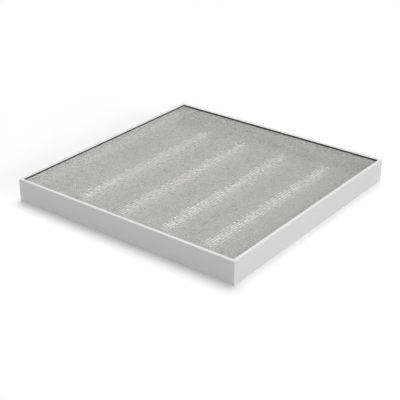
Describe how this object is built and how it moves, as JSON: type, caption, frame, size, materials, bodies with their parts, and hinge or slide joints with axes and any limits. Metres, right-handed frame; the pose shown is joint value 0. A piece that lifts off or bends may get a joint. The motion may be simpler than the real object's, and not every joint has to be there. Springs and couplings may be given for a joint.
{
  "type": "recessed troffer light",
  "caption": "Square recessed ceiling light for a 600 mm grid: white mitred frame, clear prismatic sheet over LED boards, recessed back with a hinged wiring cover.",
  "frame": {"origin": "centre of the square back, on the plane of the frame's rear edges", "axes": "+Z out of the lit face (up in the picture); the gear channel runs along X at the -Y side and the LED boards run along Y"},
  "size_m": [0.595, 0.595, 0.054],
  "materials": {
    "rail_paint": "fine satin powder coat, white",
    "plate_paint": "matte pale grey coat",
    "black_foam": "matte black closed-cell foam",
    "key_alloy": "die-cast, plain",
    "prismatic_acrylic": "clear prismatic sheet",
    "board_mask": "white solder mask on aluminium",
    "led_phosphor": "unlit warm yellow phosphor",
    "white_nylon": "moulded white nylon",
    "driver_plastic": "moulded white plastic",
    "circuit_laminate": "green laminate",
    "ferrite": "dark sintered ferrite",
    "capacitor_sleeve": "black shrink sleeve",
    "terminal_plastic": "moulded light grey plastic",
    "button_plastic": "moulded orange plastic",
    "tinned_copper": "tin-plated",
    "zinc_steel": "bright zinc-plated",
    "black_rubber": "moulded black rubber",
    "lead_insulation": "white lead insulation",
    "earth_insulation": "green lead insulation",
    "wire_insulation": "thin white wire insulation"
  },
  "bodies": {
    "housing": {"rail_front": "rail_paint", "gasket_front": "black_foam", "rail_right": "rail_paint", "gasket_right": "black_foam", "rail_back": "rail_paint", "gasket_back": "black_foam", "rail_left": "rail_paint", "gasket_left": "black_foam", "corner_key_1": "key_alloy", "led_board_1": "board_mask", "led_emitters_1": "led_phosphor", "hanger_bracket_1": "zinc_steel", "corner_key_2": "key_alloy", "led_board_2": "board_mask", "led_emitters_2": "led_phosphor", "hanger_bracket_2": "zinc_steel", "corner_key_3": "key_alloy", "led_board_3": "board_mask", "led_emitters_3": "led_phosphor", "hanger_bracket_3": "zinc_steel", "corner_key_4": "key_alloy", "led_board_4": "board_mask", "led_emitters_4": "led_phosphor", "hanger_bracket_4": "zinc_steel", "diffuser": "prismatic_acrylic", "back_plate": "plate_paint", "gear_channel": "plate_paint", "hinge_leaf_left": "zinc_steel", "hinge_leaf_right": "zinc_steel", "hinge_pin_left": "zinc_steel", "hinge_pin_right": "zinc_steel", "board_connectors": "white_nylon", "board_rivets": "white_nylon", "driver_tray": "driver_plastic", "driver_cover": "driver_plastic", "driver_board": "circuit_laminate", "driver_transformer": "ferrite", "driver_capacitors": "capacitor_sleeve", "terminal_block": "terminal_plastic", "earth_stud": "zinc_steel", "earth_nut": "zinc_steel", "earth_lug": "tinned_copper", "cable_grommet": "black_rubber", "lead_grommet": "black_rubber", "back_plate_screws": "zinc_steel", "corner_key_screws": "zinc_steel", "channel_screws": "zinc_steel", "driver_screws": "zinc_steel", "terminal_screw": "zinc_steel", "hanger_rivets": "zinc_steel", "hinge_rivets": "zinc_steel", "input_leads": "lead_insulation", "earth_lead": "earth_insulation", "output_leads": "wire_insulation", "board_jumpers": "wire_insulation"},
    "gear_cover": {"gear_cover": "plate_paint"},
    "release_button_1": {"release_button_1": "button_plastic"},
    "release_button_2": {"release_button_2": "button_plastic"},
    "release_button_3": {"release_button_3": "button_plastic"}
  },
  "joints": [
    {"name": "gear_cover_hinge", "type": "hinge", "parent": "housing", "child": "gear_cover", "pos_m": [0, -0.24675, 0.00715], "axis": [1, 0, 0], "range_deg": [0, 110]},
    {"name": "release_button_1_press", "type": "slide", "parent": "housing", "child": "release_button_1", "axis": [0, 0, 1], "range_m": [0, 0.0012], "stiffness_N_per_m": 1500},
    {"name": "release_button_2_press", "type": "slide", "parent": "housing", "child": "release_button_2", "axis": [0, 0, 1], "range_m": [0, 0.0012], "stiffness_N_per_m": 1500},
    {"name": "release_button_3_press", "type": "slide", "parent": "housing", "child": "release_button_3", "axis": [0, 0, 1], "range_m": [0, 0.0012], "stiffness_N_per_m": 1500}
  ]
}
